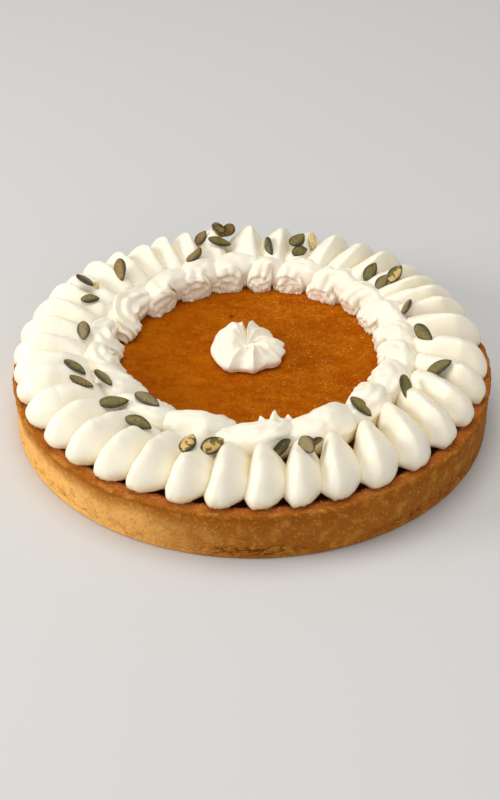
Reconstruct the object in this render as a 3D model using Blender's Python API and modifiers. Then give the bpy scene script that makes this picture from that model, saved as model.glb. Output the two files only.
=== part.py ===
"""Pumpkin tart with piped cream.

A round shortcrust shell is filled nearly level with pumpkin custard. A ring of piped cream
petals lies over the inner edge of the rim, a ring of ruffled cream shells lies inside it,
and one star rosette sits near the middle. Lengths are metres. Angles are degrees, counted
counter-clockwise from +X as seen from above, and the front of the tart faces -Y.
"""

import math

import bpy

GAP = 0.0003  # air left between pieces that touch
TURN_STEPS = 72

# Crust: baked in a 24 cm tart ring, so its wall is nearly straight.
RIM_RADIUS = 0.120
BASE_RADIUS = 0.119
CRUST_HEIGHT = 0.026
RIM_WIDTH = 0.0085
FLOOR_THICKNESS = 0.004
RIM_OUTER_ROUND = 0.0035
RIM_INNER_ROUND = 0.002
BASE_ROUND = 0.0012
INSIDE_CORNER_ROUND = 0.003

# Filling: custard that sets just below the rim.
FILLING_TOP = 0.0242

# Petals: strokes of a slit tip, piped one after another round the edge. Each one is steep
# on its clockwise side and falls away on the other side, where the next one covers it.
# The widths run counter-clockwise from FIRST_PETAL, the clockwise edge of the front one.
FIRST_PETAL = 269.5
PETAL_WIDTHS = (
    9.5, 9, 10.5, 11.5, 11.5, 10, 11, 10, 14, 10.5,
    7.5, 6.5, 6, 8, 9, 8, 8.5, 7.8, 8.9, 11.8,
    9, 7, 6.9, 7.8, 7.8, 8.8, 6.2, 7.5, 9, 9,
    8.5, 6.5, 9.5, 10.5, 9, 9, 9, 10, 10, 9.5,
)  # fmt: skip
PETAL_HEIGHT = 0.0205
PETAL_OUTER_RADIUS = 0.1160
PETAL_OVERHANG = 0.0022  # how far the outer end bulges out over its foot
PETAL_PEAK_RADIUS = 0.1050
PETAL_INNER_RADIUS = 0.0825
PETAL_INNER_DROP = 0.42  # how much lower the crest is at the inner end
PETAL_INNER_END = 0.6  # the height of the blunt inner end, as a fraction of the crest there
# How far a stroke turns counter-clockwise on its way in, by where it lies round the tart.
PETAL_SLANTS = (
    (0, 9.5), (20, 7), (45, 5), (90, 3), (180, 3.5), (245, 3.6), (262, 2.4),
    (271, 3.4), (290, 8.6), (300, 11), (313, 12.9), (335, 12), (360, 9.5),
)  # fmt: skip
PETAL_BASE = FILLING_TOP + GAP
PETAL_RIM_BASE = CRUST_HEIGHT + GAP
# The cross-section, as fractions of the width and of the height, from the clockwise foot
# over the crest to the other foot.
PETAL_SECTION = (
    (0.00, 0.00),
    (0.00, 0.45),
    (0.05, 0.80),
    (0.14, 0.98),
    (0.27, 0.97),
    (0.50, 0.76),
    (0.76, 0.52),
    (1.00, 0.36),
    (1.00, 0.00),
)

# Shells: ruffles of a star tip. Each group is one node, and its numbers are the widths of
# its shells, counter-clockwise from FIRST_SHELL.
FIRST_SHELL = 239.0
SHELL_GROUPS = (
    (24,), (27,), (25,), (20,), (16,), (15.5,), (13.5,), (16.5,), (13, 16),
    (14.5,), (11, 15), (14,), (20,), (24.5,), (16.5,), (15,), (22, 21),
)  # fmt: skip
# How far each group reaches in over the filling from the usual edge, in millimetres.
SHELL_REACHES = (
    5.4, 3.5, 1.9, 3.2, 0.7, -0.8, -3.3, -5.3, -6.8, -6.5, -5.0, -3.0, -0.5, -1.5, -2.0, -0.5, 2.4,
)  # fmt: skip
SHELL_HEIGHT = 0.0145
SHELL_INNER_RADIUS = 0.0645
SHELL_OUTER_RADIUS = 0.0820
SHELL_RING_SHIFT = 0.002  # the ring of shells sits this far towards -X
SHELL_LEAN = 0.0035
SHELL_RIDGES = 4
SHELL_RIDGE_DEPTH = 0.10
# The swell of one shell, as pairs of fraction of its length and fraction of full size.
SHELL_SWELL = ((0.0, 0.58), (0.12, 0.76), (0.34, 0.93), (0.60, 1.0), (0.82, 0.95), (0.95, 0.78))
SHELL_END = (1.0, 0.58)

# Rosette: one star of cream, squeezed out with a slight turn of the bag.
ROSETTE_CENTRE = (-0.002, 0.010)
ROSETTE_RADIUS = 0.019
ROSETTE_HEIGHT = 0.0150
ROSETTE_LOBES = 8
ROSETTE_GROOVE = 0.16
ROSETTE_TWIST = 38.0
ROSETTE_POINTS_PER_LOBE = 4
# The outline, as pairs of fraction of the height and fraction of the radius. It rises to
# a round crest and sinks again to the middle.
ROSETTE_OUTLINE = (
    (0.0, 0.88),
    (0.12, 1.0),
    (0.32, 0.98),
    (0.56, 0.88),
    (0.79, 0.73),
    (0.94, 0.58),
    (1.0, 0.45),
    (0.88, 0.24),
    (0.66, 0.07),
)


def clear_scene():
    for old in list(bpy.data.objects):
        bpy.data.objects.remove(old, do_unlink=True)


def make_collection(name):
    collection = bpy.data.collections.new(name)
    bpy.context.scene.collection.children.link(collection)
    return collection


def make_material(name, colour, roughness):
    material = bpy.data.materials.new(name)
    material.use_nodes = True
    shader = material.node_tree.nodes["Principled BSDF"]
    shader.inputs["Base Color"].default_value = (*colour, 1.0)
    shader.inputs["Roughness"].default_value = roughness
    shader.inputs["Metallic"].default_value = 0.0
    return material


def add_object(name, mesh, collection, material):
    """Puts a mesh in the scene as one named sub-part, with its rounds shaded smooth."""
    obj = bpy.data.objects.new(name, mesh)
    collection.objects.link(obj)
    mesh.materials.append(material)
    mesh.shade_smooth()
    mesh.set_sharp_from_angle(angle=math.radians(40))
    return obj


def arc(centre_x, centre_z, radius, start, end, steps=4):
    """Points on an arc of a profile, with both of its ends."""
    points = []
    for step in range(steps + 1):
        angle = math.radians(start + (end - start) * step / steps)
        points.append((centre_x + radius * math.cos(angle), centre_z + radius * math.sin(angle)))
    return points


def turned(name, profile, collection, material):
    """A solid of revolution about Z. The profile starts and ends on the axis."""
    points = [(x, 0.0, z) for x, z in profile]
    edges = [(index, index + 1) for index in range(len(points) - 1)]
    mesh = bpy.data.meshes.new(name)
    mesh.from_pydata(points, edges, [])
    obj = add_object(name, mesh, collection, material)
    screw = obj.modifiers.new("turn", "SCREW")
    screw.steps = TURN_STEPS
    screw.render_steps = TURN_STEPS
    screw.use_merge_vertices = True
    screw.merge_threshold = 0.00001
    return obj


def make_crust(collection, material):
    """A dish of pastry: floor, inside wall, rounded rim, and a wall that leans in a little."""
    inside = RIM_RADIUS - RIM_WIDTH
    corner = INSIDE_CORNER_ROUND
    outer_round = RIM_OUTER_ROUND
    inner_round = RIM_INNER_ROUND
    profile = [(0.0, FLOOR_THICKNESS)]
    profile += arc(inside - corner, FLOOR_THICKNESS + corner, corner, -90, 0)
    profile += arc(inside + inner_round, CRUST_HEIGHT - inner_round, inner_round, 180, 90)
    profile += arc(RIM_RADIUS - outer_round, CRUST_HEIGHT - outer_round, outer_round, 90, 0)
    profile += arc(BASE_RADIUS - BASE_ROUND, BASE_ROUND, BASE_ROUND, 0, -90)
    profile += [(0.0, 0.0)]
    return turned("crust", profile, collection, material)


def make_filling(collection, material):
    """A disc of custard that fills the dish, one gap away from the pastry."""
    radius = RIM_RADIUS - RIM_WIDTH - GAP
    corner = INSIDE_CORNER_ROUND
    floor = FLOOR_THICKNESS + GAP
    profile = [(0.0, FILLING_TOP)]
    profile += [(radius, FILLING_TOP)]
    profile += arc(radius - corner, floor + corner, corner, 0, -90)
    profile += [(0.0, floor)]
    return turned("filling", profile, collection, material)


def loft(name, sections, collection, material):
    """A closed solid through a row of closed loops that have the same number of points."""
    count = len(sections[0])
    points = [point for section in sections for point in section]
    faces = [tuple(reversed(range(count)))]
    for row in range(len(sections) - 1):
        for column in range(count):
            start = row * count
            following = (column + 1) % count
            faces.append(
                (start + column, start + following, start + count + following, start + count + column)
            )
    last = (len(sections) - 1) * count
    faces.append(tuple(range(last, last + count)))
    mesh = bpy.data.meshes.new(name)
    mesh.from_pydata(points, [], faces)
    return add_object(name, mesh, collection, material)


def around(radius, degrees, height):
    """A point at this radius and angle about Z."""
    angle = math.radians(degrees)
    return (radius * math.cos(angle), radius * math.sin(angle), height)


def petal_base(radius):
    """The height of a petal's underside, which climbs from the filling onto the rim."""
    rim_edge = RIM_RADIUS - RIM_WIDTH
    start = rim_edge - 0.003
    climb = min(max((radius - start) / (rim_edge + 0.0008 - start), 0.0), 1.0)
    return PETAL_BASE + (PETAL_RIM_BASE - PETAL_BASE) * climb


def petal_stations():
    """Foot radius, crest radius and crest height of each cross-section, from outside to inside."""
    stations = []
    for angle in (12, 34, 60, 90):
        turn = math.radians(angle)
        reach = PETAL_OUTER_RADIUS - PETAL_PEAK_RADIUS
        crest_radius = PETAL_PEAK_RADIUS + reach * math.cos(turn)
        foot_radius = crest_radius - PETAL_OVERHANG * math.cos(turn)
        stations.append((foot_radius, crest_radius, PETAL_HEIGHT * math.sin(turn)))
    for share in (0.35, 0.70, 0.90):
        radius = PETAL_PEAK_RADIUS + (PETAL_INNER_RADIUS - PETAL_PEAK_RADIUS) * share
        stations.append((radius, radius, PETAL_HEIGHT * (1 - PETAL_INNER_DROP * share)))
    end_height = PETAL_HEIGHT * (1 - PETAL_INNER_DROP) * PETAL_INNER_END
    stations.append((PETAL_INNER_RADIUS, PETAL_INNER_RADIUS, end_height))
    return stations


def petal_slant(degrees):
    """How far the edge between two petals turns on its way in, when it starts at this angle."""
    degrees %= 360.0
    for (start, slant), (end, next_slant) in zip(PETAL_SLANTS, PETAL_SLANTS[1:]):
        if degrees <= end:
            return slant + (next_slant - slant) * (degrees - start) / (end - start)


def make_petal(name, corner, width, collection, material):
    """One petal, with its clockwise edge on +X. Its sides keep half a gap inside the width."""
    near_slant = petal_slant(corner)
    far_slant = petal_slant(corner + width)
    sections = []
    length = PETAL_OUTER_RADIUS - PETAL_INNER_RADIUS
    for foot_radius, crest_radius, crest in petal_stations():
        inwards = (PETAL_OUTER_RADIUS - crest_radius) / length
        half_gap = math.degrees(GAP / foot_radius) / 2
        base = petal_base(foot_radius)
        section = []
        for across, up in PETAL_SECTION:
            slant = near_slant + across * (far_slant - near_slant)
            degrees = inwards * slant + half_gap + across * (width - 2 * half_gap)
            radius = foot_radius + (crest_radius - foot_radius) * up
            section.append(around(radius, degrees, base + up * crest))
        sections.append(section)
    return loft(name, sections, collection, material)


def make_petals(collection, material):
    corner = FIRST_PETAL
    for number, width in enumerate(PETAL_WIDTHS, start=1):
        petal = make_petal(f"petal_{number:02d}", corner, width, collection, material)
        petal.rotation_euler.z = math.radians(corner)
        corner += width


def shell_section(degrees, facing, reach, swell):
    """A ridged arch across the ring: flat below, star-shaped above, leaning inwards."""
    inner = SHELL_INNER_RADIUS - reach - SHELL_RING_SHIFT * math.cos(math.radians(facing))
    outer = SHELL_OUTER_RADIUS - 0.15 * (1 - swell) * (SHELL_OUTER_RADIUS - inner)
    inner += 0.45 * (1 - swell) * (SHELL_OUTER_RADIUS - inner)
    middle = (inner + outer) / 2
    half_width = (outer - inner) / 2
    points = 2 * SHELL_RIDGES + 1
    section = []
    for index in range(points + 2):
        arch = math.pi * index / (points + 1)
        notch = SHELL_RIDGE_DEPTH if index % 2 == 0 and 0 < index < points + 1 else 0.0
        size = 1 - notch
        radius = middle + size * half_width * math.cos(arch) - SHELL_LEAN * swell * math.sin(arch)
        height = PETAL_BASE + size * SHELL_HEIGHT * swell * math.sin(arch)
        section.append(around(radius, degrees, height))
    return section


def make_shell_group(name, start, widths, reach, collection, material):
    """One or more shells in a row, with their clockwise end on +X."""
    narrowest = SHELL_INNER_RADIUS - max(SHELL_REACHES) / 1000 - SHELL_RING_SHIFT
    half_gap = math.degrees(GAP / narrowest) / 2
    scale = (sum(widths) - 2 * half_gap) / sum(widths)
    sections = []
    degrees = half_gap
    for width in widths:
        for share, swell in SHELL_SWELL:
            place = degrees + share * width * scale
            sections.append(shell_section(place, start + place, reach, swell))
        degrees += width * scale
    sections.append(shell_section(degrees, start + degrees, reach, SHELL_END[1]))
    sections.reverse()
    return loft(name, sections, collection, material)


def make_shells(collection, material):
    start = FIRST_SHELL
    for number, (widths, reach) in enumerate(zip(SHELL_GROUPS, SHELL_REACHES), start=1):
        name = f"shell_{number:02d}"
        group = make_shell_group(name, start, widths, reach / 1000, collection, material)
        group.rotation_euler.z = math.radians(start)
        start += sum(widths)


def make_rosette(collection, material):
    """A stack of lobed rings, each turned a little further than the one below."""
    count = ROSETTE_LOBES * ROSETTE_POINTS_PER_LOBE
    sections = []
    for up, size in ROSETTE_OUTLINE:
        section = []
        for index in range(count):
            turn = 360.0 * index / count
            lobe = abs(math.cos(math.radians(turn * ROSETTE_LOBES / 2)))
            radius = ROSETTE_RADIUS * size * (1 - ROSETTE_GROOVE + ROSETTE_GROOVE * lobe)
            section.append(around(radius, turn + ROSETTE_TWIST * up, up * ROSETTE_HEIGHT))
        sections.append(section)
    rosette = loft("rosette", sections, collection, material)
    rosette.location = (*ROSETTE_CENTRE, FILLING_TOP + GAP)


def main():
    clear_scene()
    collection = make_collection("pumpkin_tart")
    pastry = make_material("baked_pastry", (0.50, 0.23, 0.07), 0.75)
    custard = make_material("pumpkin_custard", (0.32, 0.075, 0.008), 0.22)
    petal_cream = make_material("petal_cream", (0.88, 0.83, 0.72), 0.45)
    shell_cream = make_material("shell_cream", (0.88, 0.83, 0.72), 0.45)
    rosette_cream = make_material("rosette_cream", (0.88, 0.83, 0.72), 0.45)
    make_crust(collection, pastry)
    make_filling(collection, custard)
    make_petals(collection, petal_cream)
    make_shells(collection, shell_cream)
    make_rosette(collection, rosette_cream)


main()
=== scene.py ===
import math
import random

import bmesh
import bpy
import numpy as np
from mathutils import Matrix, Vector, noise


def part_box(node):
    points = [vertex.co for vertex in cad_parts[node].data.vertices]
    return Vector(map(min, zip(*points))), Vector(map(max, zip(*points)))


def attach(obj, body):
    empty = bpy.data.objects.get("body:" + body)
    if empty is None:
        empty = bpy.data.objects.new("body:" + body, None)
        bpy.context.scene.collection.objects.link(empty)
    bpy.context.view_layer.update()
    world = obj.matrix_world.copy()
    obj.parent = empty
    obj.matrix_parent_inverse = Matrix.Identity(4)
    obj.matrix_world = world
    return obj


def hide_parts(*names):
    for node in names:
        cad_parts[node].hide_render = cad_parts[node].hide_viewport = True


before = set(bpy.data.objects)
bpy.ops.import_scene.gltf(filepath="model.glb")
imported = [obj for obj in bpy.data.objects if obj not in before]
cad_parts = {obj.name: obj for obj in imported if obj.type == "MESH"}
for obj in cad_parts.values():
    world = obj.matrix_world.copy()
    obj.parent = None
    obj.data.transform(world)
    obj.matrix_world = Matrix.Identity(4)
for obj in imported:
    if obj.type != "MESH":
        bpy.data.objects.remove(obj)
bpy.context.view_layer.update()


# ---------------------------------------------------------------------------------------
# Crust. Sweet shortcrust about 8 mm thick, lined into a straight 24 cm ring, trimmed level
# with a knife and baked until golden: a rough cut rim, a smooth wall where the ring pressed
# it, and a crumbly lower edge.

crust_low, crust_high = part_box("crust")
RIM_RADIUS = crust_high.x
CRUST_HEIGHT = crust_high.z
FILLING_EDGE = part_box("filling")[1].x
FILLING_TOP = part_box("filling")[1].z
CRUST_STEPS = 840


def wobble(x, y, z, size, seed=0.0):
    """Smooth noise from -1 to 1 at each point. Its lumps are about this size, in metres."""
    flat = np.stack(np.broadcast_arrays(x, y, z), axis=-1).reshape(-1, 3) / size + seed
    values = [noise.noise(point) for point in flat.tolist()]
    return np.array(values).reshape(np.broadcast(x, y, z).shape)


def add_skin(name, rows, around=True, attributes=()):
    """A closed mesh through a grid of points, rows by columns, joined round the columns.
    A first or last row that is one repeated point becomes a single pole."""
    rows = np.asarray(rows)
    count, columns = rows.shape[:2]
    points = rows.reshape(-1, 3)
    index = np.arange(count * columns).reshape(count, columns)
    after = np.roll(index, -1, axis=1)
    quads = np.stack([index[:-1], after[:-1], after[1:], index[1:]], axis=-1).reshape(-1, 4)
    faces = quads.tolist() + [index[0, ::-1].tolist(), index[-1].tolist()]
    mesh = bpy.data.meshes.new(name)
    mesh.from_pydata(points.tolist(), [], faces)
    for title, values in attributes:
        mesh.attributes.new(title, "FLOAT", "POINT").data.foreach_set("value", values.reshape(-1).tolist())
    tidy = bmesh.new()
    tidy.from_mesh(mesh)
    bmesh.ops.remove_doubles(tidy, verts=tidy.verts, dist=1e-6)
    bmesh.ops.dissolve_degenerate(tidy, edges=tidy.edges, dist=1e-7)
    bmesh.ops.recalc_face_normals(tidy, faces=tidy.faces)
    tidy.to_mesh(mesh)
    tidy.free()
    mesh.shade_smooth()
    piece = bpy.data.objects.new(name, mesh)
    bpy.context.scene.collection.objects.link(piece)
    return piece


def crust_profile():
    """Radius and height of the crust's skin, from the middle of the floor, up the inside,
    over the rim, down the outside and back to the middle underneath."""
    inside = FILLING_EDGE + 0.0002
    points = [(0.0, 0.0040), (0.05, 0.0040), (0.100, 0.0040), (inside - 0.001, 0.0050)]
    points += [(inside, z) for z in np.linspace(0.009, CRUST_HEIGHT - 0.0030, 4)]
    for angle in np.radians(np.linspace(165, 95, 5)):
        points.append((inside + 0.0016 + 0.0016 * math.cos(angle), CRUST_HEIGHT - 0.0020 + 0.0018 * math.sin(angle)))
    points += [(r, CRUST_HEIGHT) for r in np.linspace(inside + 0.0020, RIM_RADIUS - 0.0017, 16)]
    for angle in np.radians(np.linspace(75, -50, 9)):
        points.append((RIM_RADIUS - 0.0012 + 0.0013 * math.cos(angle), CRUST_HEIGHT - 0.0013 + 0.0013 * math.sin(angle)))
    for z in np.concatenate([np.linspace(CRUST_HEIGHT - 0.0031, 0.0115, 22), np.linspace(0.0111, 0.0013, 34)]):
        under_lip = 0.0008 * math.exp(-(((z - (CRUST_HEIGHT - 0.0040)) / 0.0018) ** 2))
        points.append((RIM_RADIUS - 0.0003 - 0.0007 * (1 - z / CRUST_HEIGHT) - under_lip, z))
    for angle in np.radians(np.linspace(-15, -90, 5)):
        points.append((RIM_RADIUS - 0.0022 + 0.0012 * math.cos(angle), 0.0012 + 0.0012 * math.sin(angle)))
    points += [(r, 0.0) for r in (0.112, 0.05, 0.0)]
    return np.array(points)


def make_crust():
    profile = crust_profile()
    turn = np.linspace(0, 2 * math.pi, CRUST_STEPS, endpoint=False)
    radius = np.repeat(profile[:, :1], CRUST_STEPS, axis=1)
    height = np.repeat(profile[:, 1:], CRUST_STEPS, axis=1)
    x = radius * np.cos(turn)
    y = radius * np.sin(turn)
    flat = 0 * x
    # The knife and the oven leave the rim uneven; the filling hides everything inside it.
    shown = np.clip((radius - 0.105) / 0.006, 0, 1) * np.clip(height / 0.002, 0, 1)
    upper = np.clip((height - 0.012) / 0.012, 0, 1)
    rim = np.clip((height - (CRUST_HEIGHT - 0.0030)) / 0.0015, 0, 1)
    sag = 0.0006 * wobble(x, y, flat, 0.045, 3.1) + 0.00045 * wobble(x, y, flat, 0.012, 9.4) - 0.0004
    chips = 0.00045 * wobble(x, y, flat, 0.0042, 6.0) + 0.00030 * wobble(x, y, flat, 0.0017, 8.0)
    lip = np.clip((radius - (RIM_RADIUS - 0.0028)) / 0.0024, 0, 1) * rim
    height = height + shown * (upper * sag + rim * chips + 0.00035 * lip)
    bulge = 0.00050 * wobble(x, y, height, 0.026, 5.0) + 0.00022 * wobble(x, y, height, 0.009, 1.0)
    grain = wobble(x, y, height * 1.4, 0.0021, 2.0)
    ragged = 0.00075 * wobble(x, y, flat, 0.0085, 12.0) + 0.00040 * wobble(x, y, flat, 0.0028, 15.0)
    # Crumbly cracks run round the lower edge, where the dough was folded into the corner.
    low = np.clip(1 - np.abs(height - 0.0042) / 0.0046, 0, 1) ** 0.7
    broken = np.clip(wobble(x, y, flat, 0.036, 7.7) * 1.5 + 0.55, 0, 1)
    crack = np.clip(0.20 - np.abs(wobble(x * 0.30, y * 0.30, height, 0.0021, 4.2)), 0, 0.20) / 0.20
    crumbs = np.abs(wobble(x, y, height * 1.2, 0.0016, 21.0))
    push = bulge + 0.00008 * grain + rim * ragged + low * broken * (0.0009 * crumbs - 0.0016 * crack) - 0.0005
    foot = np.clip(1 - height / 0.003, 0, 1)
    radius = radius + shown * (push + 0.0006 * foot * wobble(x, y, flat, 0.0040, 17.0))
    radius[0] = 0
    radius[-1] = 0
    points = np.stack([radius * np.cos(turn), radius * np.sin(turn), height], axis=-1)
    # The crack attribute says where the material paints shade into the cracks.
    split = shown * low * broken * crack
    return add_skin("crust_baked", points, attributes=(("crack", split),))


class Signal:
    """One output in a material's node tree. Sums and products on it add Math nodes."""

    def __init__(self, tree, output=None):
        self.tree = tree
        self.output = output

    def node(self, kind, settings=None, sockets=None, output=0):
        """Adds a node of this kind with its settings, fills its sockets, returns an output."""
        made = self.tree.nodes.new(kind)
        for name, value in (settings or {}).items():
            if name == "stops":
                ramp = made.color_ramp.elements
                for index, (place, colour) in enumerate(value):
                    stop = ramp[index] if index < 2 else ramp.new(place)
                    stop.position = place
                    stop.color = (*colour, 1.0)
            else:
                setattr(made, name, value)
        for name, value in (sockets or {}).items():
            if isinstance(value, Signal):
                self.tree.links.new(value.output, made.inputs[name])
            else:
                made.inputs[name].default_value = value
        return Signal(self.tree, made.outputs[output])

    def maths(self, operation, first, second):
        return self.node("ShaderNodeMath", {"operation": operation}, {0: first, 1: second})

    def __add__(self, other):
        return self.maths("ADD", self, other)

    def __radd__(self, other):
        return self.maths("ADD", other, self)

    def __sub__(self, other):
        return self.maths("SUBTRACT", self, other)

    def __rsub__(self, other):
        return self.maths("SUBTRACT", other, self)

    def __mul__(self, other):
        return self.maths("MULTIPLY", self, other)

    def __rmul__(self, other):
        return self.maths("MULTIPLY", other, self)

    def between(self, low, high):
        """0 below low, 1 above high and smooth between them. It falls where low is above high."""
        settings = {"interpolation_type": "SMOOTHSTEP"}
        start, end = (0.0, 1.0) if low < high else (1.0, 0.0)
        limits = {1: min(low, high), 2: max(low, high), 3: start, 4: end}
        return self.node("ShaderNodeMapRange", settings, {0: self, **limits})

    def tint(self, under, over):
        """The colour under where this is 0, and over where it is 1."""
        under, over = ((*c, 1.0) if isinstance(c, tuple) else c for c in (under, over))
        settings = {"data_type": "RGBA"}
        return self.node("ShaderNodeMix", settings, {0: self, 6: under, 7: over}, output=2)

    def speckle(self, size, detail=3.0, seed=0.0, stretch=(1.0, 1.0, 1.0)):
        """Noise from 0 to 1 with lumps of this size in metres, on this position."""
        moved = self.node(
            "ShaderNodeMapping", {}, {"Vector": self, "Location": (seed, seed, seed), "Scale": stretch}
        )
        return self.node("ShaderNodeTexNoise", {}, {"Vector": moved, "Scale": 1 / size, "Detail": detail})

    def flat(self):
        """This place with its height taken away."""
        return self.node("ShaderNodeVectorMath", {"operation": "MULTIPLY"}, {0: self, 1: (1, 1, 0)})

    def part(self, axis):
        """X, Y or Z of this position."""
        return self.node("ShaderNodeSeparateXYZ", {}, {0: self}, output="XYZ".index(axis))


def new_material(name, roughness):
    """A material with a Principled shader, and the position on the piece as a Signal."""
    material = bpy.data.materials.new(name)
    material.use_nodes = True
    tree = material.node_tree
    shader = tree.nodes["Principled BSDF"]
    shader.inputs["Roughness"].default_value = roughness
    where = Signal(tree).node("ShaderNodeTexCoord", {}, {}, output=3)
    return material, shader, where


def connect(shader, **links):
    """Links signals to the shader's sockets. An underscore in a name stands for a space."""
    for name, signal in links.items():
        signal.tree.links.new(signal.output, shader.inputs[name.replace("_", " ")])


def bump(height, depth, strength=1.0):
    """A normal from a height signal, whose full swing is this many metres deep."""
    return height.node("ShaderNodeBump", {}, {"Strength": strength, "Distance": depth, "Height": height})


def crust_material():
    """Golden below, browner under the rim, and painted browner round to the right as shade away from the left lamp.
    """
    material, shader, where = new_material("baked_shortcrust", 0.62)
    height = where.part("Z")
    patches = where.speckle(0.020, 4.0, 1.3)
    swirls = where.speckle(0.0065, 3.0, 3.0)
    grain = where.speckle(0.0016, 4.0, 2.0)
    fine = where.speckle(0.0007, 2.0, 5.0)
    golden = patches.tint((0.90, 0.455, 0.110), (0.93, 0.520, 0.155))
    toasted_and_shaded = patches.tint((0.30, 0.078, 0.0030), (0.39, 0.122, 0.0065))
    edge_height = height + 0.010 * swirls + 0.007 * patches
    wall = edge_height.between(0.0215, 0.0315).tint(golden, toasted_and_shaded)
    # Painted shade: the wall is mixed towards the toasted brown on the right, away from the lamp on the left.
    turned = where.part("X") + where.part("Y") * -0.15 + 0.06 * patches
    wall = (turned.between(-0.045, 0.050) * 0.95).tint(wall, toasted_and_shaded)
    wall = (swirls.between(0.50, 0.66) * 0.30).tint(wall, (0.68, 0.34, 0.060))
    wall = (swirls.between(0.48, 0.34) * 0.32).tint(wall, (0.30, 0.078, 0.005))
    # Painted shade: the cracks round the lower edge are painted almost black-brown.
    crack = where.node("ShaderNodeAttribute", {"attribute_name": "crack"}, {}, output=2)
    wall = (crack.between(0.05, 0.7) * 0.80).tint(wall, (0.13, 0.030, 0.002))
    cut = swirls.tint((0.29, 0.062, 0.006), (0.50, 0.165, 0.030))
    inner = where.node("ShaderNodeVectorMath", {"operation": "LENGTH"}, {0: where.flat()}, output=1)
    colour = ((height + 0.0016 * grain).between(0.0240, 0.0256) * inner.between(0.1195, 0.1165)).tint(wall, cut)
    # Painted shade: the crust's inner edge, down at the filling between the petals' feet, is painted dark brown.
    colour = (inner + 0.0020 * grain).between(0.1155, 0.1130).tint(colour, (0.13, 0.028, 0.003))
    colour = (grain.between(0.54, 0.70) * 0.34).tint(colour, (0.76, 0.42, 0.11))
    colour = (grain.between(0.46, 0.28) * 0.42).tint(colour, (0.34, 0.105, 0.012))
    surface = grain * 0.6 + fine * 0.25 + swirls * 0.5
    connect(shader, Base_Color=colour, Normal=bump(surface, 0.0013), Roughness=0.66 + 0.22 * grain)
    shader.inputs["Specular IOR Level"].default_value = 0.08
    return material


crust = make_crust()
crust.data.materials.append(crust_material())
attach(crust, "root")
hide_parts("crust")


# ---------------------------------------------------------------------------------------
# Filling. Pumpkin custard baked in the crust: a smooth glossy skin with specks of spice,
# small dimples and faint wrinkles, and one little burst bubble towards the back. The dark
# ring round its edge and the dark inside of the bubble are painted shade; the bright flecks
# are painted glints.

FILLING_RINGS = 170
FILLING_STEPS = 480
PIT = (-0.0105, 0.0465)


def make_filling():
    share = np.linspace(0, 1, FILLING_RINGS)[:, None]
    turn = np.linspace(0, 2 * math.pi, FILLING_STEPS, endpoint=False)
    radius = np.repeat(share * FILLING_EDGE, FILLING_STEPS, axis=1)
    x = radius * np.cos(turn)
    y = radius * np.sin(turn)
    swell = 0.00030 * wobble(x, y, 0 * x, 0.040, 2.0)
    wrinkle = 0.00010 * wobble(x, y * 1.8, 0 * x, 0.0065, 8.0)
    grain = 0.00005 * wobble(x, y, 0 * x, 0.0021, 4.0)
    pit = 0.0007 * np.exp(-(((x - PIT[0]) ** 2 + (y - PIT[1]) ** 2) / 0.0011**2))
    z = FILLING_TOP + swell + wrinkle + grain - pit - 0.0004
    top = np.stack([x, y, z], axis=-1)
    wall = top[-1:].copy()
    wall[..., 2] = 0.006
    floor = np.zeros((1, FILLING_STEPS, 3))
    floor[..., 2] = 0.006
    return add_skin("filling_custard", np.concatenate([floor, wall, top[::-1]]))


def filling_material():
    material, shader, where = new_material("pumpkin_custard", 0.3)
    clouds = where.speckle(0.020, 4.0, 0.7, (1.0, 1.5, 1.0))
    brushed = where.speckle(0.0085, 4.0, 5.1, (1.0, 1.8, 1.0))
    mottle = where.speckle(0.0030, 4.0, 3.3)
    colour = clouds.between(0.35, 0.65).tint((0.340, 0.070, 0.0004), (0.395, 0.095, 0.0008))
    colour = (brushed.between(0.53, 0.68) * 0.40).tint(colour, (0.45, 0.130, 0.003))
    colour = (brushed.between(0.46, 0.32) * 0.40).tint(colour, (0.26, 0.048, 0.001))
    colour = (mottle.between(0.52, 0.68) * 0.40).tint(colour, (0.46, 0.140, 0.004))
    colour = (mottle.between(0.44, 0.30) * 0.40).tint(colour, (0.22, 0.034, 0.001))
    # Painted glints: bright flecks, strongest towards the right; the dark flecks after them are specks of spice.
    specks_and_glints = where.speckle(0.0014, 2.0, 6.1, (1.0, 2.2, 1.0))
    glint_region = brushed.between(0.40, 0.60) * (where.part("X") + 0.05 * clouds).between(-0.005, 0.045) * 0.8 + 0.2
    colour = (specks_and_glints.between(0.60, 0.68) * glint_region).tint(colour, (0.72, 0.30, 0.06))
    colour = (specks_and_glints.between(0.36, 0.29) * 0.65).tint(colour, (0.11, 0.018, 0.001))
    # Painted shade: the custard is painted dark brown in a ring at its edge, under the petals' noses.
    from_middle = where.node("ShaderNodeVectorMath", {"operation": "LENGTH"}, {0: where.flat()}, output=1)
    colour = (from_middle + 0.006 * clouds).between(0.104, 0.110).tint(colour, (0.085, 0.016, 0.001))
    # Painted shade: the colour goes dark inside the hollow of the burst bubble.
    from_pit = where.node("ShaderNodeVectorMath", {"operation": "DISTANCE"}, {0: where, 1: (*PIT, FILLING_TOP)}, output=1)
    colour = (from_pit.between(0.0020, 0.0008) * 0.75).tint(colour, (0.09, 0.016, 0.001))
    surface = mottle * 0.6 + specks_and_glints * 0.35 + clouds
    connect(shader, Base_Color=colour, Normal=bump(surface, 0.0009), Roughness=0.40 + 0.16 * mottle)
    shader.inputs["Specular IOR Level"].default_value = 0.006
    return material


filling = make_filling()
filling.data.materials.append(filling_material())
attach(filling, "root")
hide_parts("filling")


# ---------------------------------------------------------------------------------------
# Petals. Firm whipped cream from a slit tip, held upright: each stroke starts with a fat
# round nose on the rim, is drawn inwards and down, and lies over the flank of the one
# before. Forty strokes go round, none quite like the next.

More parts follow.
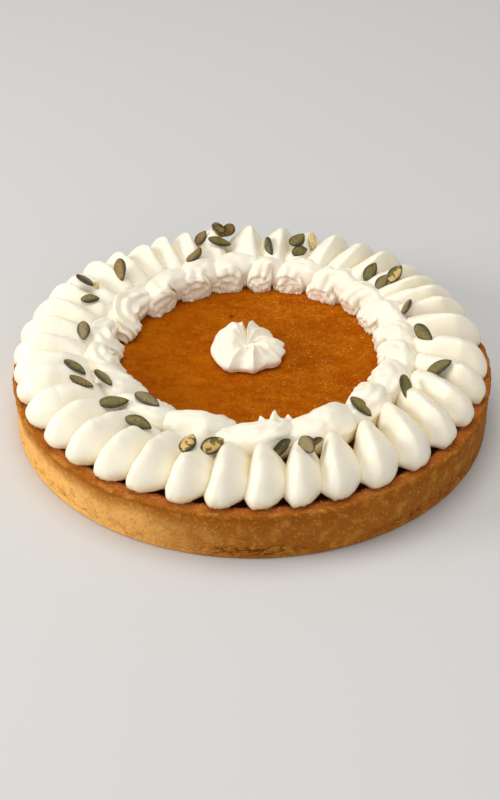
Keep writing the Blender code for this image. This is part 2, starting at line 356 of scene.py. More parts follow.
FIRST_PETAL = 269.5
PETAL_WIDTHS = (
    9.5, 9, 10.5, 11.5, 11.5, 10, 11, 10, 14, 10.5,
    7.5, 6.5, 6, 8, 9, 8, 8.5, 7.8, 8.9, 11.8,
    9, 7, 6.9, 7.8, 7.8, 8.8, 6.2, 7.5, 9, 9,
    8.5, 6.5, 9.5, 10.5, 9, 9, 9, 10, 10, 9.5,
)  # fmt: skip
# Where the tail ends, in degrees beyond the stroke's clockwise corner, round the tart.
TAIL_TURN = ((0, 9.5), (20, 7), (45, 5), (90, 3), (180, 3.5), (245, 3.6), (262, 2.4), (271, 3.4), (290, 8.6), (300, 11), (313, 12.9), (335, 12), (360, 9.5))
PETAL_TALL = 0.0200
# The nose is a fan of sections hinged on a line across the stroke, at this radius.
PETAL_HINGE = 0.1030
PETAL_TAIL = 0.0785
PETAL_FOOT = CRUST_HEIGHT - 0.0009
# Down the middle of the nose: degrees up from the rim, and how far out from the hinge.
NOSE_REACH = ((0, 10.0), (8, 11.9), (17, 13.6), (28, 14.7), (40, 15.4), (54, 16.3), (70, 17.6), (90, 19.4))
# Down the middle of the tail: how tall it still is, at even steps inwards.
TAIL_TALL = (0.97, 1.0, 0.995, 0.96, 0.895, 0.82, 0.735, 0.65)
FAN_STEPS = 18
FOOT_TUCK = 40
FLANK_TUCK = 78
TAIL_STEPS = 26


def along_route(route, count):
    """The route's numbers at this many even steps, on a smooth curve through them."""
    route = np.array(route, float)
    knots = np.linspace(0, 1, len(route))
    steps = np.linspace(0, 1, count)
    slopes = np.gradient(route, knots, axis=0)
    span = np.clip(np.searchsorted(knots, steps, side="right") - 1, 0, len(route) - 2)
    gap = knots[1] - knots[0]
    t = (steps - knots[span]) / gap
    t = t.reshape(-1, *[1] * (route.ndim - 1))
    start, end = route[span], route[span + 1]
    return (
        (2 * t**3 - 3 * t**2 + 1) * start
        + (t**3 - 2 * t**2 + t) * gap * slopes[span]
        + (-2 * t**3 + 3 * t**2) * end
        + (t**3 - t**2) * gap * slopes[span + 1]
    )


def flank(reach, power, root, soft=0.10):
    """How high a flank is, from 1 at the crest to 0 at the foot. The crest is rounded a little."""
    eased = (np.sqrt(reach**2 + soft**2) - soft) / (math.sqrt(1 + soft**2) - soft)
    return np.clip(1 - eased**power, 0, 1) ** (1 / root)


def lively_nose(rows):
    """1 on the nose and 0 inwards of its hinge."""
    return np.clip((np.hypot(rows[..., 0], rows[..., 1]) - PETAL_HINGE) / 0.004, 0, 1)[..., None]


def make_petal(number, corner, width, rng):
    """One stroke. Its steep flank is on the clockwise side; the long one runs on under the
    next stroke."""
    middle = (corner + width / 2) % 360
    gappy = math.exp(-(((middle - 297) / 34) ** 2))
    back = 0.5 + 0.5 * math.sin(math.radians(middle))
    pitch = math.radians(width) * PETAL_HINGE
    tall = PETAL_TALL * rng.uniform(0.96, 1.02) * (0.93 + 0.07 * min(width / 9, 1.15))
    turned = np.interp(middle, *np.array(TAIL_TURN).T)
    starts = width * (0.22 + rng.uniform(-0.03, 0.03))
    peaks = width * (0.30 + rng.uniform(-0.03, 0.03))
    near = (0.0050 + 0.21 * pitch) * rng.uniform(0.97, 1.05)
    far = (0.0120 + 0.40 * pitch) * rng.uniform(0.97, 1.05)
    near_foot = 0.21 * pitch * rng.uniform(0.85, 1.2)
    far_foot = 0.52 * pitch * rng.uniform(0.90, 1.12)
    nib = rng.uniform(0.04, 0.15)
    tail = PETAL_TAIL + rng.uniform(-0.0008, 0.0012)
    bulge = rng.uniform(0.97, 1.03)
    # On the left and the right the noses hang out further over the rim.
    on_left = math.exp(-(((middle - 190) / 40) ** 2))
    on_right = math.exp(-((((middle + 175) % 360 - 180) / 28) ** 2))
    outwards = 0.0008 * (1 - back) + 0.0026 * on_left + 0.0014 * on_right

    share = np.sin(np.linspace(0, math.pi / 2, 22))
    across = np.concatenate([-share[:0:-1], share])
    is_near = across < 0
    reach = np.abs(across)
    under = np.linspace(1, -1, 12)[1:-1]

    def section(hinge, up, half_near, half_far, pointed, veered, low, foot=0.0):
        """One section: a ridge over the top, and a straight way back along the foot."""
        soft = 0.24 - (0.11 + 0.09 * back) * pointed
        near_side = flank(reach, 2.0 - (0.6 + 0.25 * back) * pointed + 1.4 * foot, 2.0 - (0.85 + 0.1 * back) * pointed, soft)
        far_side = flank(reach, 1.55 - 0.3 * pointed + 0.45 * foot, 1.55 - 0.5 * (pointed + foot), soft)
        high = np.where(is_near, near_side, far_side) + nib * foot**2 * np.exp(-(((across + 0.75) / 0.25) ** 2))
        aside = np.where(is_near, across * half_near, across * half_far) - 0.0010 * high * pointed
        below = np.where(under < 0, under * half_near, under * half_far)
        aside = np.concatenate([aside, below])
        high = np.concatenate([high, 0 * below])
        radius = hinge + high * up[0]
        height = low + high * up[1]
        turn = np.radians(corner + veered) + aside / hinge
        return np.stack([radius * np.cos(turn), radius * np.sin(turn), height], axis=-1)

    rows = []
    for degrees, out in along_route(NOSE_REACH, FAN_STEPS):
        tilt = math.radians(degrees)
        out = out / 1000 * bulge * (tall / PETAL_TALL) ** (degrees / 90)
        up = (out * math.cos(tilt), out * math.sin(tilt))
        veered = starts + (peaks - starts) * math.sin(tilt)
        # The foot is drawn in under the stroke, so the flanks bulge over it.
        foot = max(0.0, 1 - degrees / FOOT_TUCK) ** 1.5
        drawn_in = max(0.0, 1 - degrees / FLANK_TUCK) ** 1.15
        widths = near + (near_foot - near) * foot, far + (far_foot - far) * drawn_in
        rows.append(section(PETAL_HINGE + outwards, up, *widths, math.sin(tilt) ** 1.5, veered, PETAL_FOOT, foot))
    sink = FILLING_TOP - 0.0004 - PETAL_FOOT
    slope = along_route([(value,) for value in TAIL_TALL], TAIL_STEPS)[:, 0]
    for step in range(1, TAIL_STEPS):
        along = step / (TAIL_STEPS - 1)
        hinge = PETAL_HINGE + outwards + (tail - PETAL_HINGE - outwards) * along
        narrow = 1 - (0.12 + 0.46 * gappy) * along**1.5
        closing = math.sqrt(max(0.0, 1 - max(0.0, (along - 0.80) / 0.20) ** 2.2))
        height = (tall * slope[step] * (1 - 0.16 * back * along) - sink * along) * max(closing, 0.02)
        close_in = max(closing, 0.02) ** 0.6
        widths = near * narrow * close_in, far * narrow * (1 - 0.30 * gappy * along**1.5) * close_in
        low = PETAL_FOOT + sink * min(1.0, along * 3)
        veered = peaks + (turned - peaks) * along**1.15
        rows.append(section(hinge, (0.0, height), *widths, 1 - 0.60 * along, veered, low))
    rows.append(np.repeat(rows[-1].mean(axis=0)[None], rows[-1].shape[0], axis=0))
    rows = np.array(rows)
    lively = np.clip((rows[..., 2:] - PETAL_FOOT) / 0.004, 0, 1)
    sway = np.stack(
        [wobble(rows[..., 0], rows[..., 1], rows[..., 2], 0.009, 10 * axis + number) for axis in range(3)], axis=-1
    )
    facets = wobble(rows[..., 0], rows[..., 1], rows[..., 2] * 0.6, 0.0035, 31.0)[..., None]
    frayed = wobble(rows[..., 0], rows[..., 1], rows[..., 2], 0.0022, 41.0)[..., None]
    frayed = frayed * np.clip(1 - (rows[..., 2:] - PETAL_FOOT) / 0.0040, 0, 1) * lively_nose(rows)
    outward = rows * (1, 1, 0) / np.hypot(rows[..., 0], rows[..., 1])[..., None]
    rows = rows + (0.00065 * sway + 0.00018 * facets) * lively + 0.0013 * frayed * outward
    return add_skin(f"petal_cream_{number:02d}", rows)


cream_pieces = []
random_petals = random.Random(4)
corner = FIRST_PETAL
for number, width in enumerate(PETAL_WIDTHS, start=1):
    petal = make_petal(number, corner, width, random_petals)
    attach(petal, "root")
    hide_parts(f"petal_{number:02d}")
    cream_pieces.append(petal)
    corner += width


# ---------------------------------------------------------------------------------------
# Shells. The same cream from a fine star tip: each ruffle is laid along the inner ends of
# the petals, then hooked in towards the filling, where it breaks off with a ragged end.

FIRST_SHELL = 239.0
SHELL_GROUPS = (
    (24,), (27,), (25,), (20,), (16,), (15.5,), (13.5,), (16.5,), (13, 16),
    (14.5,), (11, 15), (14,), (20,), (24.5,), (16.5,), (15,), (22, 21),
)  # fmt: skip
# How each group was piped: folds round its skin, their depth, how torn the end is, how far
# the end droops, and how far its lower edge runs out under the upper one.
SHELL_WAYS = {
    "smooth": (11, 0.030, 0.45, 0.45, 0.0),
    "spiky": (13, 0.060, 0.80, 0.15, 0.0),
    "round": (9, 0.085, 0.85, 0.45, 0.20),
    "open": (8, 0.050, 0.95, 0.10, 0.30),
    "draped": (9, 0.200, 0.50, 0.90, 0.10),
}
WAY_OF_SHELL = ("smooth", "spiky", "smooth", *["round"] * 6, *["open"] * 4, *["draped"] * 3, "smooth")
# How far each group was laid in from the usual ring, and how much wider, in millimetres.
SHELL_SHIFTS = (
    (9.0, 2.0), (6.0, 1.5), (5.5, 1.8), (5.5, 1.5), (3.0, 0.8), (1.5, 0.5), (-1.0, 0.0), (-3.0, 0.0), (-4.5, 0.0),
    (-4.5, 0.0), (-3.0, 0.3), (-1.0, 0.5), (1.5, 0.6), (2.0, 0.8), (1.5, 0.5), (3.0, 1.0), (6.0, 1.8),
)  # fmt: skip
SHELL_AROUND = 104
SHELL_STATIONS = 44
# The route of one ruffle: share of its width, radius from the middle, height and thickness.
SHELL_ROUTE = (
    (-0.36, 77.6, 28.4, 5.6),
    (-0.16, 78.4, 29.2, 7.4),
    (0.06, 78.6, 29.8, 8.5),
    (0.28, 78.4, 30.2, 9.1),
    (0.46, 77.2, 30.4, 9.3),
    (0.58, 75.0, 30.2, 9.2),
    (0.63, 72.2, 29.6, 8.8),
    (0.64, 69.6, 28.8, 8.2),
)
# Into the torn end: what is left of its size, how far forward, and how crumpled, in millimetres.
TORN_END = (
    (0.985, 0.5, 0.0), (0.955, 1.1, 0.1), (0.915, 1.5, 0.3), (0.86, 1.6, 0.5), (0.81, 1.2, 0.7), (0.76, 1.7, 0.8),
    (0.69, 2.3, 0.9), (0.62, 2.4, 1.1), (0.56, 2.0, 1.2), (0.49, 2.5, 1.3), (0.40, 3.0, 1.4), (0.30, 3.2, 1.4),
    (0.15, 3.3, 0.8), (0.0, 3.3, 0.0),
)  # fmt: skip


def make_shell(name, start, width, way, shift, rng, seed):
    """A softly ridged tube along the route, closed by the torn end where the tip let go."""
    ridges, folds, tears, droop, slope = SHELL_WAYS[way]
    inwards, wider = shift
    smooth = along_route(SHELL_ROUTE, SHELL_STATIONS)
    arc = math.radians(width) * 0.075
    size = (0.90 + 0.10 * min(width / 18, 1.3)) * rng.uniform(0.96, 1.04) + 0.02 * wider
    wide = np.clip(0.56 * arc / 0.0092, 0.82, 1.18) + 0.10 * wider
    bent = np.clip(np.linspace(-0.9, 1, SHELL_STATIONS), 0, 1) ** 1.6 * droop
    angle = np.radians(start + smooth[:, 0] * width)
    middle = math.radians(start + width / 2)
    radius = smooth[:, 1] / 1000 - 0.002 * math.cos(middle) - inwards / 1000 - 0.0024 * bent
    rise = smooth[:, 2] / 1000 - 0.0045 * bent + 0.0004 * wider
    path = np.stack([radius * np.cos(angle), radius * np.sin(angle), rise], axis=-1)
    thick = smooth[:, 3] / 1000 * size * (1 - 0.30 * bent)
    ahead = np.gradient(path, axis=0)
    ahead /= np.linalg.norm(ahead, axis=1)[:, None]
    up = np.array([0.0, 0.0, 1.0]) - ahead * ahead[:, 2:3]
    up /= np.linalg.norm(up, axis=1)[:, None]
    side = np.cross(ahead, up)
    turn = np.linspace(0, 2 * math.pi, SHELL_AROUND, endpoint=False)
    twist = rng.uniform(0, 3)
    folds = folds * rng.uniform(0.85, 1.2)
    torn = tears * rng.uniform(0.85, 1.2)
    last = SHELL_STATIONS - 1
    stations = [(0, 0.0, -1.4, 0.0), (0, 0.5, -1.2, 0.0), (0, 0.85, -0.5, 0.0)]
    stations += [(index, 1.0, 0.0, 0.0) for index in range(SHELL_STATIONS)]
    stations += [(last, shrink, forward * torn, crumple * torn) for shrink, forward, crumple in TORN_END]
    rows = []
    for index, shrink, forward, crumple in stations:
        share = index / last
        wander = 0.45 * np.sin(2 * turn + seed + 2.5 * share) + 0.35 * np.sin(3 * turn + 2 * seed)
        ridge = 0.5 + 0.5 * np.cos(turn * ridges + twist + 1.6 * share + wander)
        if way != "draped":
            # The folds fade out down the sides of the end.
            ridge = 0.6 + (ridge - 0.6) * (1 - share**3 * np.clip(0.6 - np.sin(turn), 0, 1))
        depth = folds * (0.35 + share**1.5) * (1 if shrink > 0.9 else 0.5)
        profile = (1 - depth + depth * ridge**0.8) * thick[index] * shrink
        scallop = (0.0002 * torn + 0.005 * folds) * (ridge - 0.6) if index == last and shrink > 0.8 else 0.0
        # The folds in the torn end gather towards the filling.
        drop = -0.0055 * (1 - shrink) * up[index] if index == last else 0.0
        ring = (
            path[index]
            + side[index] * (np.cos(turn) * profile * (1 + (wide - 1) * share))[:, None]
            + up[index] * (np.sin(turn) * profile)[:, None]
            + ahead[index] * (forward / 1000 + scallop + 0 * turn)[:, None]
            + drop
        )
        ring = ring + ahead[index] * (slope * share**4 * (path[index, 2] - ring[:, 2]))[:, None]
        if way == "spiky" and shrink > 0.9:
            # The tip was flicked up here and left three points.
            spike = np.clip(1 - np.abs((np.degrees(turn) + 10) % 40 - 20) / 18, 0, 1) * (np.abs(turn - 1.57) < 1.04)
            grown = spike * max(0.0, share - 0.90) / 0.10 * 0.0034
            ring = ring + (up[index] + 0.7 * ahead[index]) * grown[:, None]
        if crumple:
            lumps = wobble(ring[:, 0] * 0.7, ring[:, 1] * 0.7, ring[:, 2] * 2.0, 0.0029, seed)
            frills = wobble(ring[:, 0], ring[:, 1], ring[:, 2] * 2.2, 0.0016, seed + 3)
            ring = ring + ahead[index] * (crumple / 1000 * (lumps + 0.45 * frills))[:, None]
            ring = ring + up[index] * (0.6 * crumple / 1000 * lumps)[:, None]
        rows.append(ring)
    rows = np.array(rows)
    sway = np.stack(
        [wobble(rows[..., 0], rows[..., 1], rows[..., 2], 0.0105, 7 * axis + seed) for axis in range(3)], axis=-1
    )
    small = np.stack(
        [wobble(rows[..., 0], rows[..., 1], rows[..., 2], 0.0045, 5 * axis + seed) for axis in range(3)], axis=-1
    )
    rows = rows + 0.0016 * sway + 0.00050 * small
    rows[..., 2] = np.maximum(rows[..., 2], FILLING_TOP - 0.0008)
    rows[0] = rows[0].mean(axis=0)
    rows[-1] = rows[-1].mean(axis=0)
    return add_skin(name, rows)


def join(pieces, name):
    """One piece from several."""
    with bpy.context.temp_override(active_object=pieces[0], selected_editable_objects=pieces):
        bpy.ops.object.join()
    pieces[0].name = name
    return pieces[0]


random_shells = random.Random(11)
corner = FIRST_SHELL
for number, widths in enumerate(SHELL_GROUPS, start=1):
    ruffles = []
    for width in widths:
        way = WAY_OF_SHELL[number - 1]
        shift = SHELL_SHIFTS[number - 1]
        ruffle = make_shell(f"ruffle_{number}_{len(ruffles)}", corner, width, way, shift, random_shells, 1.7 * corner)
        ruffles.append(ruffle)
        corner += width
    shell = join(ruffles, f"shell_cream_{number:02d}") if len(ruffles) > 1 else ruffles[0]
    shell.name = f"shell_cream_{number:02d}"
    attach(shell, "root")
    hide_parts(f"shell_{number:02d}")
    cream_pieces.append(shell)


# ---------------------------------------------------------------------------------------
# Rosette. One squeeze of the star tip near the middle, pulled off sharply: lobes of
# different widths round a low centre, each with a small torn point.

ROSETTE_AROUND = 312
rosette_low, rosette_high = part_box("rosette")
ROSETTE_CENTRE = (rosette_low + rosette_high) / 2
# Each ridge: degrees, length and height compared with the usual, and how deep the groove
# after it is.
LOBES = (
    (18, 1.02, 0.66, 0.45), (44, 0.90, 0.88, 0.45), (77, 0.98, 1.05, 0.95), (101, 0.96, 1.00, 0.10),
    (124, 1.02, 1.06, 0.06), (156, 1.00, 0.98, 0.10), (187, 1.02, 0.66, 0.30), (240, 1.08, 0.74, 0.85),
    (279, 1.02, 0.90, 0.85), (326, 1.06, 0.80, 0.45), (356, 1.03, 0.58, 0.45),
)  # fmt: skip
# Radius and height of the skin from the middle outwards, on a ridge and in a groove.
ON_RIDGE = (
    (0, 7.0), (3, 9.4), (6.5, 12.2), (9.8, 13.4), (13.2, 12.2), (16.2, 9.5), (18.2, 6.6), (18.8, 4.2), (17.9, 2.0),
    (15.5, 0.3), (0, -0.3),
)  # fmt: skip
IN_GROOVE = (
    (0, 7.0), (2.6, 7.5), (5.6, 8.5), (8.4, 8.4), (11, 7.3), (13.4, 6.0), (15.0, 4.6), (15.5, 3.1), (14.8, 1.4),
    (13, 0.0), (0, -0.3),
)  # fmt: skip


def make_rosette():
    ridge_line = along_route(ON_RIDGE, 48) / 1000
    groove_line = along_route(IN_GROOVE, 48) / 1000
    turn = np.linspace(0, 360, ROSETTE_AROUND, endpoint=False)
    lobes = np.array(sorted(LOBES), float)
    following = np.roll(lobes, -1, axis=0)
    before = np.searchsorted(lobes[:, 0], turn, side="right") - 1
    gap = (following[before, 0] - lobes[before, 0]) % 360
    share = ((turn - lobes[before, 0]) % 360) / gap
    length = lobes[before, 1] * (1 - share) + following[before, 1] * share
    height = lobes[before, 2] * (1 - share) + following[before, 2] * share
    # A ridge is crisp on one side; the groove after it is a wide hollow.
    hollow = np.sin(math.pi * share**0.80) ** 1.35 * lobes[before, 3]
    rows = []
    for (ridge_r, ridge_z), (groove_r, groove_z) in zip(ridge_line, groove_line):
        radius = (ridge_r + (groove_r - ridge_r) * hollow) * (1 + (length - 1) * 1.0)
        up = (ridge_z + (groove_z - ridge_z) * hollow) * height
        up = np.where(ridge_r < 0.004, ridge_z + (up - ridge_z) * ridge_r / 0.004, up)
        twisted = np.radians(turn + 26 * np.exp(-((radius / 0.009) ** 2)))
        x = ROSETTE_CENTRE.x + radius * np.cos(twisted)
        y = ROSETTE_CENTRE.y + radius * np.sin(twisted)
        rows.append(np.stack([x, y, FILLING_TOP + up], axis=-1))
    rows = np.array(rows)
    sway = np.stack(
        [wobble(rows[..., 0], rows[..., 1], rows[..., 2], 0.007, 3 + 5 * axis) for axis in range(3)], axis=-1
    )
    small = np.stack(
        [wobble(rows[..., 0], rows[..., 1], rows[..., 2], 0.0028, 2 + 5 * axis) for axis in range(3)], axis=-1
    )
    rows = rows + 0.0007 * sway + 0.00025 * small
    rows[0] = rows[0].mean(axis=0)
    rows[-1] = rows[-1].mean(axis=0)
    return add_skin("rosette_cream", rows)


rosette = make_rosette()
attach(rosette, "root")
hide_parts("rosette")
cream_pieces.append(rosette)


# ---------------------------------------------------------------------------------------
# Cream finish. Whipped cream is warm white. Light that goes deep into a crease comes back
# yellow and dimmer, so each point carries how shut in it is by the cream round it, and that
# shade is painted into the colour as a darker yellow.

MAP_CELL = 0.0007
LOOK_WAYS = 12
TORN_TOP = FILLING_TOP + 0.0075
LOOK_FAR = (0.0010, 0.0018, 0.0030, 0.0045, 0.0065, 0.0090)


def read_points(data, field):
    """One vector for each item of a mesh's vertices or polygons, as rows of three."""
    found = np.empty(len(data) * 3)
    data.foreach_get(field, found)
    return found.reshape(-1, 3)


def height_map(pieces):
    """How high the pieces reach above each small square of the table."""
    side = int(2 * RIM_RADIUS / MAP_CELL) + 60
    heights = np.zeros((side, side))
    for piece in pieces:
        points = np.concatenate([read_points(piece.data.vertices, "co"), read_points(piece.data.polygons, "center")])
        column, row = np.floor(points[:, :2].T / MAP_CELL).astype(int) + side // 2
        np.maximum.at(heights, (row, column), points[:, 2])
    for _ in range(2):
        around = np.max([np.roll(heights, step, axis) for axis in (0, 1) for step in (-1, 1)], axis=0)
        heights = np.where(heights == 0, around, heights)
    return heights


def mark_creases(pieces, heights):
    """Looks round from each point, on the side it faces, for cream that rises above it."""
    half = heights.shape[0] // 2
    for piece in pieces:
        points = read_points(piece.data.vertices, "co")
        normals = read_points(piece.data.vertices, "normal")
        shut = np.zeros(len(points))
        weight = np.full(len(points), 1e-6)
        for way in np.arange(LOOK_WAYS) * 2 * math.pi / LOOK_WAYS:
            direction = np.array([math.cos(way), math.sin(way)])
            facing = np.clip(0.25 + normals[:, :2] @ direction, 0, 1)
            steepest = np.zeros(len(points))
            for far in LOOK_FAR:
                column, row = np.floor((points[:, :2] + direction * far).T / MAP_CELL).astype(int) + half
                rise = heights[row, column] - points[:, 2] - 0.0004
                steepest = np.maximum(steepest, rise / far * (1.15 - far / 0.012))
            shut += facing * np.sin(np.arctan(steepest))
            weight += facing
        # The torn ends of the shells face down and in, over the filling: they are painted tan there,
        # as shade and orange bounce light from the filling.
        radius = np.hypot(points[:, 0], points[:, 1])
        over_filling = np.clip((0.082 - radius) / 0.004, 0, 1) * np.clip((TORN_TOP - points[:, 2]) / 0.004, 0, 1)
        on_foot = np.clip((radius - 0.102) / 0.004, 0, 1) * np.clip(1 - (points[:, 2] - PETAL_FOOT) / 0.006, 0, 1)
        values = shut / weight * (1 - 0.85 * on_foot)
        values = np.maximum(values * (1 - 0.5 * over_filling), over_filling * np.clip(0.3 - 0.5 * normals[:, 2], 0, 0.45))
        piece.data.attributes.new("crease", "FLOAT", "POINT").data.foreach_set("value", values.astype(np.float32))


def cream_material():
    material, shader, where = new_material("whipped_cream", 0.42)
    crease = where.node("ShaderNodeAttribute", {"attribute_name": "crease"}, {}, output=2)
    soft = where.speckle(0.012, 2.0, 4.0)
    fine = where.speckle(0.0012, 3.0, 2.0)
    colour = soft.tint((0.87, 0.79, 0.62), (0.91, 0.85, 0.71))
    # Painted shade: the more shut in a point is, the more it is tinted a darker yellow.
    colour = (crease.between(0.28, 0.90) * 0.9).tint(colour, (0.89, 0.74, 0.41))
    connect(shader, Base_Color=colour, Normal=bump(fine * 0.5 + soft, 0.00025), Roughness=0.38 + 0.12 * fine)
    shader.inputs["Subsurface Weight"].default_value = 0.25
    shader.inputs["Subsurface Radius"].default_value = (1.0, 0.8, 0.5)
    shader.inputs["Subsurface Scale"].default_value = 0.003
    return material


mark_creases(cream_pieces, height_map([*cream_pieces, filling]))
cream = cream_material()
for piece in cream_pieces:
    piece.data.materials.append(cream)


# ---------------------------------------------------------------------------------------
# Seeds. Hulled pumpkin seeds dropped on the cream by hand, about 14 mm long, olive green
# to grey brown, a few of them split so that the pale inside shows.

SEED_LENGTH = 0.0140
SEED_WIDTH = 0.0078
SEED_THICKNESS = 0.0027
# Where each seed lies: the place of its middle in millimetres, which way its point is turned,
# how steeply it climbs and how far it is rolled over in degrees, its length and width
# compared with the usual, and its kind.
SEEDS = (
    (-69.2, 60.2, 44.1, -79, -27, 37, 1.00, 1.00, "brown"),
    (-86.7, 49.6, 44.1, -51, -0, -27, 1.00, 1.00, "dark"),
    (-80.9, 47.1, 42.4, -44, -20, 37, 0.28, 0.47, "pale"),
    (-83.2, 35.8, 41.7, 6, 0, 17, 0.71, 0.72, "green"),
    (-84.6, 8.7, 40.1, -85, -24, -2, 0.82, 0.87, "grey"),
    (-86.1, -24.6, 41.5, -37, -12, -18, 1.00, 1.00, "green"),
    (-82.0, -38.0, 41.7, -27, -10, -13, 0.97, 0.97, "brown"),
    (-71.6, -33.3, 40.9, -58, -2, -31, 1.08, 1.08, "olive"),
    (-65.8, -53.2, 41.0, 13, -3, 5, 1.10, 1.10, "green"),
    (-49.8, -50.7, 40.9, -35, -8, -3, 1.05, 1.05, "grey"),
    (-52.8, -71.9, 43.1, -24, -10, 8, 1.00, 1.02, "green"),
    (-29.2, -90.1, 44.7, 73, 1, -3, 1.00, 1.00, "split"),
    (-18.1, -86.9, 41.3, 41, -1, 42, 1.01, 1.01, "split"),
    (13.8, -82.3, 36.6, 51, -0, 84, 1.00, 1.00, "dark"),
    (25.2, -89.0, 42.8, -64, -4, 30, 0.86, 1.03, "grey"),
    (30.1, -75.6, 35.0, 18, 23, 106, 0.44, 0.72, "brown"),
    (52.0, -52.2, 37.8, -36, -27, -5, 0.99, 0.99, "olive"),
    (73.7, -39.9, 40.9, -91, -18, -37, 1.00, 1.00, "green"),
    (90.9, -24.9, 41.3, -12, 37, 16, 1.09, 1.09, "green"),
    (85.6, 4.0, 41.6, -52, -10, 68, 1.00, 1.00, "green"),
    (79.4, 31.9, 39.8, 78, -5, -52, 1.00, 1.00, "brown"),
    (68.1, 55.2, 39.4, 44, 31, 35, 0.73, 0.77, "grey"),
    (75.1, 59.3, 42.0, 47, 25, 34, 0.86, 0.88, "split"),
    (62.6, 64.4, 40.0, 56, 28, 27, 0.86, 0.88, "green"),
    (9.0, 89.8, 40.2, -76, -9, 72, 1.00, 1.00, "dark"),
    (24.5, 91.4, 43.1, 60, -0, 11, 1.00, 1.00, "olive"),
    (25.7, 84.8, 40.3, 22, 2, 56, 0.66, 0.79, "green"),
    (32.7, 93.2, 41.6, -82, -37, 10, 0.76, 0.56, "pale"),
    (-27.7, 97.8, 40.7, 41, 38, 25, 0.68, 0.72, "brown"),
    (-30.6, 80.9, 39.9, 64, 6, -17, 1.00, 1.00, "brown"),
    (-17.8, 101.0, 44.6, -75, 5, -17, 1.00, 1.00, "brown"),
    (-17.3, 92.2, 41.7, 13, -22, 8, 1.00, 1.00, "olive"),
    (-17.8, 101.8, 42.9, 2, -60, 80, 0.66, 0.86, "brown"),
    (-12.6, 102.3, 42.9, 178, -60, -80, 0.66, 0.86, "brown"),
)  # fmt: skip
SEED_KINDS = {"dark": 0.0, "green": 0.2, "olive": 0.4, "split": 0.35, "brown": 0.6, "grey": 0.8, "pale": 1.0}


def seed_points(rng):
    """A flat drop shape with its point at +X: lens-shaped in section, with a thin rim, and
    bent a little. Also how near the rim each point is."""
    share = np.linspace(0, 1, 21)
    bow = np.sin(math.pi * share**0.85) ** 0.72
    turn = np.linspace(0, 2 * math.pi, 28, endpoint=False)
    bent = 0.0006 * rng.uniform(-1, 1)
    dished = rng.uniform(0.0, 0.35)
    rows = []
    near_rim = []
    for along, swell in zip(share, bow):
        across = np.cos(turn)
        high = np.sign(np.sin(turn)) * np.abs(np.sin(turn)) ** 1.2
        high = high * (1 - dished * np.clip(1 - np.abs(across) / 0.6, 0, 1) * (np.sin(turn) > 0))
        x = (along - 0.5) * SEED_LENGTH + 0 * turn
        z = 0.5 * SEED_THICKNESS * swell**0.7 * high + bent * (2 * along - 1) ** 2
        rows.append(np.stack([x, 0.5 * SEED_WIDTH * swell * across, z], axis=-1))
        near_rim.append(np.maximum(np.abs(across), abs(2 * along - 1) ** 3))
    rows = np.array(rows)
    rows[0] = rows[0].mean(axis=0)
    rows[-1] = rows[-1].mean(axis=0)
    return rows, np.array(near_rim)


def make_seeds():
    rng = random.Random(21)
    pieces = []
    for number, (x, y, z, heading, climb, roll, length, width, kind) in enumerate(SEEDS):
        heading, climb, roll = (math.radians(angle) for angle in (heading, climb, roll))
        along = Vector((math.cos(heading) * math.cos(climb), math.sin(heading) * math.cos(climb), math.sin(climb)))
        side = along.cross(Vector((0, 0, 1))).normalized()
        face = side.cross(along) * math.cos(roll) + side * math.sin(roll)
        rows, near_rim = seed_points(rng)
        rows = rows * (length, width, 1.0)
        rows = rows @ np.array([along, face.cross(along), face]) + np.array((x, y, z)) / 1000
        shade = np.full(rows.shape[:2], SEED_KINDS[kind]) + rng.uniform(-0.03, 0.03)
        split = np.full(rows.shape[:2], 1.0 if kind == "split" else 0.0)
        marks = (("shade", shade), ("split", split), ("near_rim", near_rim))
        pieces.append(add_skin(f"seed_{number}", rows, attributes=marks))
    return join(pieces, "pumpkin_seeds")


def seed_material():
    """Olive skin with a darker rim, and a pale streaky band painted down the middle as a highlight."""
    material, shader, where = new_material("hulled_seed", 0.4)
    shade, split, near_rim = (
        where.node("ShaderNodeAttribute", {"attribute_name": name}, {}, output=2) for name in ("shade", "split", "near_rim")
    )
    kinds = ((0.0, (0.040, 0.034, 0.006)), (0.2, (0.105, 0.092, 0.008)), (0.4, (0.165, 0.125, 0.010)),
             (0.6, (0.215, 0.115, 0.016)), (0.8, (0.185, 0.145, 0.060)), (1.0, (0.72, 0.52, 0.24)))  # fmt: skip
    skin = where.node("ShaderNodeValToRGB", {"stops": kinds}, {"Fac": shade})
    streak = where.speckle(0.0011, 3.0, 1.0)
    blotch = where.speckle(0.0034, 2.0, 5.0)
    # Painted highlight: a pale streaky band down the middle of each seed, away from the rim.
    colour = ((1 - near_rim).between(0.30, 0.85) * streak.between(0.35, 0.60) * 0.45).tint(skin, (0.34, 0.27, 0.08))
    colour = (blotch.between(0.52, 0.64) * 0.30).tint(colour, (0.38, 0.22, 0.04))
    colour = (streak.between(0.60, 0.72) * 0.5).tint(colour, (0.030, 0.022, 0.004))
    torn = split * blotch.between(0.465, 0.500) * near_rim.between(0.92, 0.75)
    colour = torn.tint(colour, (0.72, 0.47, 0.16))
    rim = near_rim.between(0.50, 0.90) * (1 - shade.between(0.85, 1.0)) * 0.90
    colour = rim.tint(colour, (0.026, 0.021, 0.004))
    connect(shader, Base_Color=colour, Normal=bump(streak + blotch, 0.0007), Roughness=0.22 + 0.2 * streak)
    shader.inputs["Specular IOR Level"].default_value = 0.45
    return material


seeds = make_seeds()
seeds.data.materials.append(seed_material())
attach(seeds, "root")


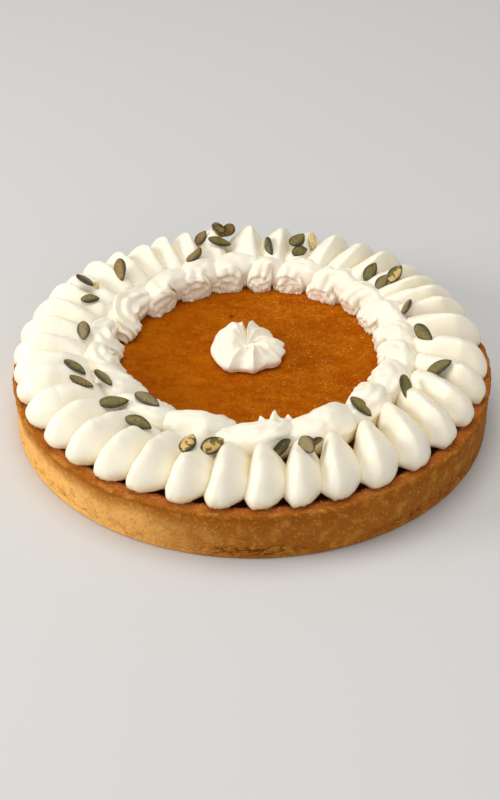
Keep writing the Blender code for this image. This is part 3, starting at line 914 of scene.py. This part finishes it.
# ---------------------------------------------------------------------------------------
# Studio. A plain pale floor, a broad soft lamp above, one from the left for the modelling,
# a weaker one in front, and the camera above the front edge.

FLOOR_SIZE = 12.0


def make_floor():
    bpy.ops.mesh.primitive_plane_add(size=FLOOR_SIZE, location=(0, 0, -0.0002))
    floor = bpy.context.object
    floor.name = "studio_floor"
    material, shader, where = new_material("pale_floor", 0.75)
    faint = where.speckle(0.6, 2.0)
    connect(shader, Base_Color=faint.tint((0.60, 0.59, 0.57), (0.63, 0.62, 0.60)))
    floor.data.materials.append(material)


def make_lamp(name, place, size, power, colour):
    lamp = bpy.data.lights.new(name, "AREA")
    lamp.shape = "DISK"
    lamp.size = size
    lamp.energy = power
    lamp.color = colour
    holder = bpy.data.objects.new(name, lamp)
    holder.location = place
    holder.rotation_euler = (Vector((0, 0, 0.02)) - Vector(place)).to_track_quat("-Z", "Y").to_euler()
    bpy.context.scene.collection.objects.link(holder)


def make_camera():
    """Looks down on the tart from the front."""
    elevation = math.radians(36.2)
    distance = 0.90
    target = Vector((-0.001, 0.0, 0.0032))
    camera = bpy.data.objects.new("camera", bpy.data.cameras.new("camera"))
    camera.data.lens = 79.3
    camera.data.clip_end = 50
    back = Vector((0, -math.cos(elevation), math.sin(elevation)))
    camera.location = target + back * distance
    camera.rotation_euler = (-back).to_track_quat("-Z", "Y").to_euler()
    bpy.context.scene.collection.objects.link(camera)
    bpy.context.scene.camera = camera


make_floor()
make_lamp("above", (-0.15, 0.20, 1.50), 1.2, 12.4, (1.0, 0.99, 0.97))
make_lamp("left", (-1.45, -0.28, 0.62), 0.7, 15.4, (1.0, 0.985, 0.96))
make_lamp("front", (0.35, -1.5, 0.80), 1.2, 6.6, (1.0, 0.99, 0.98))
make_camera()

world = bpy.data.worlds.new("studio")
world.use_nodes = True
world.node_tree.nodes["Background"].inputs["Color"].default_value = (0.95, 0.97, 1.0, 1.0)
world.node_tree.nodes["Background"].inputs["Strength"].default_value = 0.35
bpy.context.scene.world = world
bpy.context.scene.view_settings.view_transform = "Standard"
